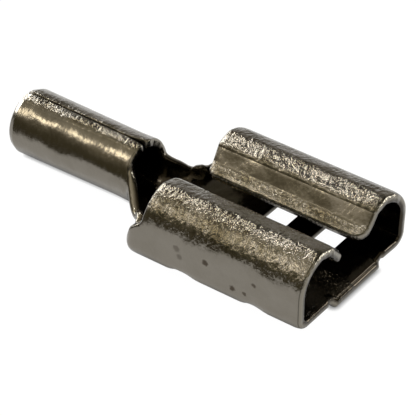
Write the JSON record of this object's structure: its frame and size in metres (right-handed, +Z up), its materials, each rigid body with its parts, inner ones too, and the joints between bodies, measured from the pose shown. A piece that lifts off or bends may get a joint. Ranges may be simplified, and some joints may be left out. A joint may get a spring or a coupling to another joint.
{
  "type": "female spade terminal",
  "caption": "Uninsulated female spade terminal: one sheet metal piece with rolled sides, an open neck and a closed crimp barrel.",
  "frame": {"origin": "middle of the footprint, on the surface that the terminal lies on", "axes": "+X along the terminal from the barrel towards the mouth that takes the tab, +Z up from the floor towards the rolls, +Y to the left of +X"},
  "size_m": [0.0166, 0.0074, 0.0034],
  "materials": {
    "plated_sheet": "dull nickel-like plating with a fine rolled grain"
  },
  "bodies": {
    "root": {"terminal": "plated_sheet"}
  },
  "joints": []
}
